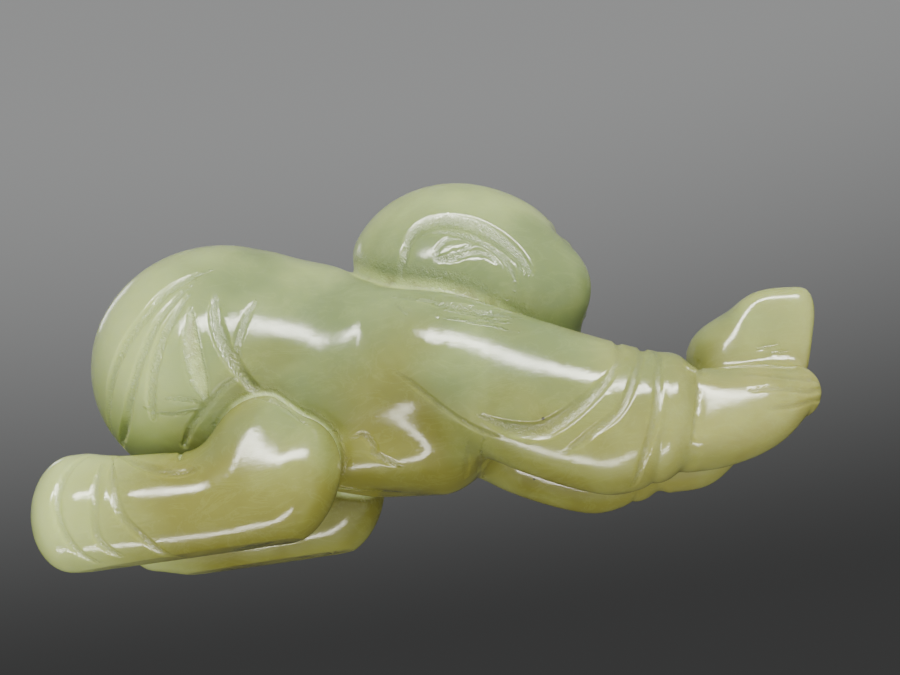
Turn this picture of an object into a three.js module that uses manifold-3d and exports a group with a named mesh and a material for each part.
// Jade figurine: a kneeling child bowed down to the ground, holding an offering out in front.
// Millimetres. +X points from the feet to the hands, +Z is up, -Y is the figure's right side.
// The origin is on the ground under the middle of the figure.
//
// The real figurine is one piece of stone. Each carved mass of it is one solid here, and
// neighbouring masses are divided by a fine gap that follows the surface of the mass in front.

import * as THREE from "three";
import { mergeVertices } from "three/addons/utils/BufferGeometryUtils.js";
import Module from "manifold-3d";

const wasm = await Module();
wasm.setup();

// ---- Driving dimensions -------------------------------------------------------------------

const GAP = 0.3; // between neighbouring masses
const REAR_X = -38.2; // back of the right foot
const FRONT_X = 38.8; // front of the offering
const RUMP = { x: -22.2, z: 20.3, length: 13.4, width: 12.6, height: 13.2 }; // half sizes
const HEAD = { x: 4.1, z: 24.1, radius: 12.1, width: 11.4 }; // width is half the head's width
const HEAD_TILT = 12; // degrees that the face is lifted above level
const HEAD_TURN = 10; // degrees that the face is turned to the figure's left
const LEG_Y = 9.2; // from the middle plane to the middle of the right leg
const LEFT_LEG_Y = 8.0;
const LEFT_LEG_LEAD = 2.4; // the left leg is this much further forward than the right one
const LEG_RADIUS = 4.8;
const EAR = { length: 6.4, thickness: 2.4, height: 4.9 }; // half sizes
const EAR_PLACE = { back: 1.2, drop: 0.4, sunk: 0.2 }; // from the middle of the head's side
const EAR_LOBE = 0.78; // the ear's lower half is this much shorter than its upper half
const EAR_BOWL = 0.72; // size of the ear's hollow, as a share of the ear
const EAR_BOWL_OUT = 1.9; // how far the hollow's middle lies outside the ear's middle
const OFFERING_WIDTH = 9.0;
const OFFERING_ROUNDING = 1.6;

const FACE_GROOVE = 0.4;
const FOLD_GROOVE = 0.5;

// Facets around and rings along each kind of rounded shape.
const GROOVE_SIDES = 6;
const LIMB_AROUND = 16;
const LIMB_ALONG = 12;
const SHIN_ALONG = 18;
const SLEEVE_ALONG = 26;
const TORSO_ALONG = 16;
const HEAD_FACETS = [36, 26];
const EAR_FACETS = [18, 12];
const RUMP_FACETS = [28, 20];

const DEGREE = Math.PI / 180;

// ---- Stone --------------------------------------------------------------------------------

function jade(colour) {
  return new THREE.MeshStandardMaterial({ color: colour, roughness: 0.18, metalness: 0 });
}

// The stone is greener on the head and back and yellower towards the ground.
const HEAD_STONE = 0x9fb88c;
const BACK_STONE = 0xa3b98a;
const SLEEVE_STONE = 0xb0bd86;
const LEG_STONE = 0xb4b87c;
const HAND_STONE = 0xbfc48f;
const OFFERING_STONE = 0xc3cba4;

// ---- Solids -------------------------------------------------------------------------------

function toSolid(geometry) {
  const plain = geometry.index ? geometry.toNonIndexed() : geometry.clone();
  plain.deleteAttribute("normal");
  plain.deleteAttribute("uv");
  const merged = mergeVertices(plain, 1e-5);
  const mesh = new wasm.Mesh({
    numProp: 3,
    vertProperties: new Float32Array(merged.attributes.position.array),
    triVerts: new Uint32Array(merged.index.array),
  });
  return new wasm.Manifold(mesh);
}

function toGeometry(solid) {
  const mesh = solid.getMesh();
  const geometry = new THREE.BufferGeometry();
  geometry.setAttribute("position", new THREE.BufferAttribute(mesh.vertProperties, 3));
  geometry.setIndex(new THREE.BufferAttribute(mesh.triVerts, 1));
  return geometry;
}

// Moves every point of a smooth closed surface outwards by the same distance.
function swell(geometry, distance) {
  const smooth = geometry.clone();
  smooth.computeVertexNormals();
  const points = smooth.attributes.position;
  const normals = smooth.attributes.normal;
  const point = new THREE.Vector3();
  const normal = new THREE.Vector3();
  for (let i = 0; i < points.count; i += 1) {
    point.fromBufferAttribute(points, i);
    normal.fromBufferAttribute(normals, i);
    point.addScaledVector(normal, distance);
    points.setXYZ(i, point.x, point.y, point.z);
  }
  return smooth;
}

// A unit sphere whose every point is moved by place(direction), with shared vertices.
function shapedSphere(place, [around, along]) {
  const sphere = new THREE.SphereGeometry(1, around, along);
  sphere.deleteAttribute("normal");
  sphere.deleteAttribute("uv");
  const geometry = mergeVertices(sphere, 1e-5);
  const points = geometry.attributes.position;
  const point = new THREE.Vector3();
  for (let i = 0; i < points.count; i += 1) {
    point.fromBufferAttribute(points, i).normalize();
    const moved = place(point.clone());
    points.setXYZ(i, moved.x, moved.y, moved.z);
  }
  return geometry;
}

// A groove tool: a slim rod along the given surface points, to be cut away.
function grooveRod(points, radius) {
  const path = new THREE.CatmullRomCurve3(points);
  const section = new THREE.Shape();
  section.absarc(0, 0, radius, 0, 2 * Math.PI, false);
  return new THREE.ExtrudeGeometry(section, {
    steps: 3 * (points.length - 1),
    curveSegments: GROOVE_SIDES / 2,
    bevelEnabled: false,
    extrudePath: path,
  });
}

const smoothSkin = () => 0;

// A rounded limb through stations [x, y, z, half width, half height]. blunt is 1 for an
// ellipsoid and less for fuller ends. crease(t) is the share by which the section is thinned,
// with t from 0 to 1 along the limb.
function limb(stations, blunt, along = LIMB_ALONG, crease = smoothSkin) {
  return shapedSphere(limbSurface(stations, blunt, crease), [LIMB_AROUND, along]);
}

function limbSurface(stations, blunt, crease) {
  const path = new THREE.CatmullRomCurve3(stations.map((s) => new THREE.Vector3(s[0], s[1], s[2])));
  const sizes = new THREE.CatmullRomCurve3(stations.map((s) => new THREE.Vector3(s[3], s[4], 0)));
  const up = new THREE.Vector3(0, 0, 1);
  return (direction) => {
    const t = (1 - direction.y) / 2;
    const centre = path.getPoint(t);
    const size = sizes.getPoint(t);
    const tangent = path.getTangent(t);
    const side = new THREE.Vector3().crossVectors(up, tangent).normalize();
    const lift = new THREE.Vector3().crossVectors(tangent, side).normalize();
    const rim = Math.hypot(direction.x, direction.z);
    if (rim < 1e-6) {
      return centre;
    }
    const scale = Math.pow(Math.min(1, rim), blunt) / rim;
    const keep = 1 - crease(t);
    centre.addScaledVector(side, direction.x * scale * size.x * keep);
    centre.addScaledVector(lift, direction.z * scale * size.y * keep);
    return centre;
  };
}

// The point of a limb's surface at t along it and at an angle from its upper side, in degrees
// towards the figure's left.
function limbPoint(stations, blunt, t, angle) {
  const height = 1 - 2 * t;
  const rim = Math.sqrt(1 - height * height);
  const turn = angle * DEGREE;
  const direction = new THREE.Vector3(rim * Math.sin(turn), height, rim * Math.cos(turn));
  return limbSurface(stations, blunt, smoothSkin)(direction);
}

function mirrored(stations, offset = [0, 0]) {
  return stations.map((s) => [s[0] + offset[0], offset[1] - s[1], s[2], s[3], s[4]]);
}

// A smooth bump of height 1 around zero, gone by about twice the width.
function bump(distance, width) {
  return Math.exp(-Math.pow(distance / width, 2));
}

// Shallow rings pressed round a limb at the given places along it.
function rings(places, depth, width) {
  return (t) => depth * Math.max(...places.map((place) => bump(t - place, width)));
}

// ---- Head ---------------------------------------------------------------------------------

// In the head's own axes +x is forward, +y is its left and +z is up. The face is a plain,
// calm one: a round brow, hollows for the eyes, a short nose, full cheeks and a small chin.
// Each row is a swelling: distance to the side, height (both radians), width and amount.
const FACE_SWELLINGS = [
  [0.0, 0.45, 0.45, 0.03], // forehead
  [0.4, 0.12, 0.2, -0.06], // eye hollows
  [0.0, -0.14, 0.15, 0.13], // nose
  [0.55, -0.3, 0.34, 0.09], // cheeks
  [0.0, -0.44, 0.22, 0.07], // lips
  [0.0, -0.8, 0.28, 0.09], // chin
];

function faceRelief(direction) {
  if (direction.x < 0) {
    return 0;
  }
  const side = Math.abs(Math.atan2(direction.y, direction.x));
  const pitch = Math.asin(THREE.MathUtils.clamp(direction.z, -1, 1));
  let relief = 0;
  for (const [sideways, height, width, amount] of FACE_SWELLINGS) {
    relief += amount * bump(Math.hypot(side - sideways, pitch - height), width);
  }
  return relief;
}

function headSurface(direction) {
  const radius = HEAD.radius * (1 + faceRelief(direction));
  const width = (HEAD.width / HEAD.radius) * radius;
  return new THREE.Vector3(direction.x * radius, direction.y * width, direction.z * radius);
}

// The point of the face at an angle to the side and an angle above level, both in radians.
function headPoint(yaw, pitch) {
  const level = Math.cos(pitch);
  return headSurface(new THREE.Vector3(level * Math.cos(yaw), level * Math.sin(yaw), Math.sin(pitch)));
}

// Closed lids and a gentle mouth, each a shallow arc cut into the face. Each arc is given by
// its points' angles to the side, its lowest point and how fast it rises away from there.
const LID = { yaws: [0.24, 0.33, 0.43, 0.54], middle: 0.39, low: 0.06, rise: 2.2 };
const MOUTH = { yaws: [-0.22, -0.08, 0.08, 0.22], middle: 0, low: -0.46, rise: 1.2 };

function faceGroove(arc, side) {
  const points = arc.yaws.map((yaw) => {
    return headPoint(side * yaw, arc.low + arc.rise * (yaw - arc.middle) * (yaw - arc.middle));
  });
  return placedOnHead(grooveRod(points, FACE_GROOVE));
}

function placedOnHead(geometry) {
  geometry.rotateY(-HEAD_TILT * DEGREE);
  geometry.rotateZ(HEAD_TURN * DEGREE);
  geometry.translate(HEAD.x, 0, HEAD.z);
  return geometry;
}

// The sphere's poles lie along y, so it is stood up to put them at the crown and the throat.
function headShape() {
  const upright = (d) => new THREE.Vector3(d.x, -d.z, d.y);
  return placedOnHead(shapedSphere((direction) => headSurface(upright(direction)), HEAD_FACETS));
}

// An ear lies flat on the side of the head: a half oval plate with a hollow in it.
function earShape(side, scale) {
  const centre = new THREE.Vector3(-EAR_PLACE.back, side * (HEAD.width - EAR_PLACE.sunk), -EAR_PLACE.drop);
  const geometry = shapedSphere((direction) => {
    const lobe = direction.z < 0 ? EAR_LOBE : 1;
    return new THREE.Vector3(
      centre.x + direction.x * EAR.length * scale,
      centre.y + direction.y * EAR.thickness,
      centre.z + direction.z * EAR.height * scale * lobe,
    );
  }, EAR_FACETS);
  return placedOnHead(geometry);
}

function earBowl(side) {
  const bowl = earShape(side, EAR_BOWL);
  const outwards = new THREE.Vector3(0, side * EAR_BOWL_OUT, 0);
  outwards.applyAxisAngle(new THREE.Vector3(0, 0, 1), HEAD_TURN * DEGREE);
  bowl.translate(outwards.x, outwards.y, outwards.z);
  return bowl;
}

// ---- Body ---------------------------------------------------------------------------------

function rumpShape() {
  return shapedSphere((direction) => new THREE.Vector3(
    RUMP.x + direction.x * RUMP.length,
    direction.y * RUMP.width,
    RUMP.z + direction.z * RUMP.height,
  ), RUMP_FACETS);
}

// Folds of the gown, from the waist down over the hip towards the heel, as [x, z] points.
const HIP_FOLDS = [
  [[-20.7, 28.4], [-26.0, 27.0], [-30.0, 22.6], [-32.2, 16.1]],
  [[-21.6, 26.6], [-25.6, 24.0], [-28.6, 18.8], [-29.8, 12.4]],
  [[-21.8, 24.6], [-24.6, 21.8], [-26.6, 17.6], [-26.9, 13.4]],
];

function hipFold(fold, side) {
  const points = fold.map(([x, z]) => {
    const away = Math.hypot((x - RUMP.x) / RUMP.length, (z - RUMP.z) / RUMP.height);
    return new THREE.Vector3(x, side * RUMP.width * Math.sqrt(1 - away * away), z);
  });
  return grooveRod(points, FOLD_GROOVE);
}

const TORSO_LINE = [
  [-24.0, 0, 19.0, 9.5, 10.0],
  [-14.0, 0, 18.0, 11.4, 11.9],
  [-4.6, 0, 15.8, 10.8, 11.7],
  [5.5, 0, 12.4, 8.8, 9.6],
];

const RIGHT_SLEEVE_LINE = [
  [-7.0, -6.2, 18.6, 5.2, 6.4],
  [0.5, -8.0, 16.0, 5.9, 6.9],
  [8.0, -8.8, 10.7, 5.6, 7.3],
  [15.5, -8.2, 6.8, 5.4, 7.5],
  [19.5, -7.6, 6.3, 5.3, 6.9],
  [24.3, -6.8, 7.2, 4.7, 5.4],
];

const RIGHT_HAND_LINE = [
  [20.0, -6.6, 6.6, 4.2, 4.6],
  [26.0, -5.9, 6.1, 4.5, 4.8],
  [31.5, -5.0, 6.8, 3.9, 3.9],
  [36.6, -3.9, 8.2, 2.6, 1.9],
];

// The left hand is held a little lower and wider than the right one.
const LEFT_HAND_LINE = [
  [21.0, 7.2, 5.8, 4.4, 5.0],
  [27.0, 6.8, 5.5, 4.6, 5.0],
  [32.0, 5.4, 7.0, 3.8, 3.7],
  [36.2, 4.2, 8.2, 2.5, 1.8],
];

const RIGHT_THIGH_LINE = [
  [-10.2, -LEG_Y, 5.6, 4.6, 5.2],
  [-14.5, -LEG_Y, 7.2, LEG_RADIUS, 5.8],
  [-19.0, -LEG_Y - 0.2, 9.3, LEG_RADIUS, 6.2],
  [-23.4, -LEG_Y + 0.6, 11.8, LEG_RADIUS, 5.6],
];

const RIGHT_SHIN_LINE = [
  [-12.4, -LEG_Y, 4.0, 4.4, 4.6],
  [-20.0, -LEG_Y - 0.2, 4.3, LEG_RADIUS, 4.9],
  [-27.0, -LEG_Y - 0.2, 4.7, LEG_RADIUS, 5.2],
  [-33.0, -LEG_Y, 5.2, 4.6, 5.4],
];

const RIGHT_FOOT_LINE = [
  [REAR_X, -LEG_Y, 5.8, 4.6, 5.0],
  [-35.5, -LEG_Y, 5.4, 4.9, 5.7],
  [-31.0, -LEG_Y, 5.0, 4.6, 5.4],
];

const FULL_ENDS = 0.55;
const FOOT_ENDS = 0.8;
const CUFF_FOLDS = rings([0.7, 0.8, 0.9], 0.09, 0.022);
const ANKLE_FOLDS = rings([0.72, 0.82], 0.08, 0.02);

function sleeveShape(line) {
  return limb(line, FULL_ENDS, SLEEVE_ALONG, CUFF_FOLDS);
}

// Long folds that sweep from the top of the cuff round the outside to under the elbow, as
// [t, angle] points on the sleeve.
const SLEEVE_FOLDS = [
  [[0.72, 30], [0.62, 62], [0.46, 88], [0.3, 96]],
  [[0.77, 30], [0.7, 70], [0.58, 104], [0.46, 122]],
];

function sleeveFold(fold, line, side) {
  const points = fold.map(([t, angle]) => limbPoint(line, FULL_ENDS, t, side * angle));
  return grooveRod(points, FOLD_GROOVE);
}

function shinShape(line) {
  return limb(line, FULL_ENDS, SHIN_ALONG, ANKLE_FOLDS);
}

// The offering is a plain rounded block, taller in front, standing on both hands.
function offeringShape() {
  const outline = new THREE.Shape();
  outline.moveTo(27.6, 9.6);
  outline.lineTo(26.4, 13.4);
  outline.lineTo(30.4, 16.2);
  outline.lineTo(33.0, 17.2);
  outline.lineTo(FRONT_X - OFFERING_ROUNDING - 0.4, 16.8);
  outline.lineTo(FRONT_X - OFFERING_ROUNDING, 15.4);
  outline.lineTo(FRONT_X - OFFERING_ROUNDING - 1.8, 10.2);
  outline.closePath();
  const geometry = new THREE.ExtrudeGeometry(outline, {
    depth: OFFERING_WIDTH - 2 * OFFERING_ROUNDING,
    bevelThickness: OFFERING_ROUNDING,
    bevelSize: OFFERING_ROUNDING,
    bevelSegments: 3,
    steps: 1,
  });
  geometry.rotateX(Math.PI / 2);
  geometry.translate(0, (OFFERING_WIDTH - 2 * OFFERING_ROUNDING) / 2, 0);
  return geometry;
}

// ---- Assembly -----------------------------------------------------------------------------

const BLOCK = 60;

// A block that stands on the ground plane, used to cut the undersides flat.
function aboveGround() {
  const block = new THREE.BoxGeometry(2 * BLOCK, 2 * BLOCK, BLOCK);
  block.translate(0, 0, BLOCK / 2);
  return toSolid(block);
}

// A block on one side of the middle plane, which keeps left and right masses apart.
function besideMiddle(side) {
  const block = new THREE.BoxGeometry(2 * BLOCK, BLOCK, 2 * BLOCK);
  block.translate(0, side * (BLOCK / 2 + GAP / 2), 0);
  return toSolid(block);
}

const rightOf = besideMiddle(-1);
const leftOf = besideMiddle(1);
const ground = aboveGround();

const LEFT_SLEEVE_LINE = mirrored(RIGHT_SLEEVE_LINE);
const LEFT_LEG_OFFSET = [LEFT_LEG_LEAD, LEFT_LEG_Y - LEG_Y];

const shapes = {
  head: headShape(),
  right_ear: earShape(-1, 1),
  left_ear: earShape(1, 1),
  right_sleeve: sleeveShape(RIGHT_SLEEVE_LINE),
  left_sleeve: sleeveShape(LEFT_SLEEVE_LINE),
  torso: limb(TORSO_LINE, FULL_ENDS, TORSO_ALONG),
  hips: rumpShape(),
  right_thigh: limb(RIGHT_THIGH_LINE, FULL_ENDS),
  left_thigh: limb(mirrored(RIGHT_THIGH_LINE, LEFT_LEG_OFFSET), FULL_ENDS),
  right_shin: shinShape(RIGHT_SHIN_LINE),
  left_shin: shinShape(mirrored(RIGHT_SHIN_LINE, LEFT_LEG_OFFSET)),
  right_foot: limb(RIGHT_FOOT_LINE, FOOT_ENDS),
  left_foot: limb(mirrored(RIGHT_FOOT_LINE, LEFT_LEG_OFFSET), FOOT_ENDS),
  right_hand: limb(RIGHT_HAND_LINE, FULL_ENDS),
  left_hand: limb(LEFT_HAND_LINE, FULL_ENDS),
  offering: offeringShape(),
};

// Each mass stops short of the masses listed with it, which lie in front of it.
const neighbours = {
  head: [],
  right_ear: ["head"],
  left_ear: ["head"],
  right_sleeve: ["head", "right_ear"],
  left_sleeve: ["head", "left_ear"],
  right_thigh: [],
  left_thigh: [],
  right_foot: [],
  left_foot: [],
  right_shin: ["right_thigh", "right_foot"],
  left_shin: ["left_thigh", "left_foot"],
  torso: ["head", "right_ear", "left_ear", "right_sleeve", "left_sleeve", "right_thigh", "left_thigh"],
  hips: ["torso", "right_thigh", "left_thigh", "right_shin", "left_shin", "right_foot", "left_foot"],
  right_hand: ["right_sleeve"],
  left_hand: ["left_sleeve"],
  offering: ["right_hand", "left_hand", "right_sleeve", "left_sleeve"],
};

const stones = {
  head: HEAD_STONE,
  right_ear: HEAD_STONE,
  left_ear: HEAD_STONE,
  torso: BACK_STONE,
  hips: BACK_STONE,
  right_sleeve: SLEEVE_STONE,
  left_sleeve: SLEEVE_STONE,
  right_hand: HAND_STONE,
  left_hand: HAND_STONE,
  offering: OFFERING_STONE,
};

const grooves = {
  head: [faceGroove(LID, -1), faceGroove(LID, 1), faceGroove(MOUTH, 1)],
  right_sleeve: SLEEVE_FOLDS.map((fold) => sleeveFold(fold, RIGHT_SLEEVE_LINE, -1)),
  left_sleeve: SLEEVE_FOLDS.map((fold) => sleeveFold(fold, LEFT_SLEEVE_LINE, 1)),
  hips: HIP_FOLDS.flatMap((fold) => [hipFold(fold, -1), hipFold(fold, 1)]),
};

function carved(name) {
  let solid = toSolid(shapes[name]);
  for (const other of neighbours[name]) {
    solid = solid.subtract(toSolid(swell(shapes[other], GAP)));
  }
  if (name.startsWith("right_")) {
    solid = solid.intersect(rightOf);
  }
  if (name.startsWith("left_")) {
    solid = solid.intersect(leftOf);
  }
  for (const rod of grooves[name] ?? []) {
    solid = solid.subtract(toSolid(rod));
  }
  if (name.endsWith("_ear")) {
    solid = solid.subtract(toSolid(earBowl(name.startsWith("right_") ? -1 : 1)));
  }
  return solid.intersect(ground);
}

const group = new THREE.Group();
for (const name of Object.keys(neighbours)) {
  const mesh = new THREE.Mesh(toGeometry(carved(name)), jade(stones[name] ?? LEG_STONE));
  mesh.name = name;
  group.add(mesh);
}

// The masses are laid out from the middle of the body; the origin belongs under the middle of
// the whole figure, between the heels and the front of the offering.
const extent = new THREE.Box3().setFromObject(group);
group.position.x = -(extent.min.x + extent.max.x) / 2;
group.position.y = -(extent.min.y + extent.max.y) / 2;

export default group;
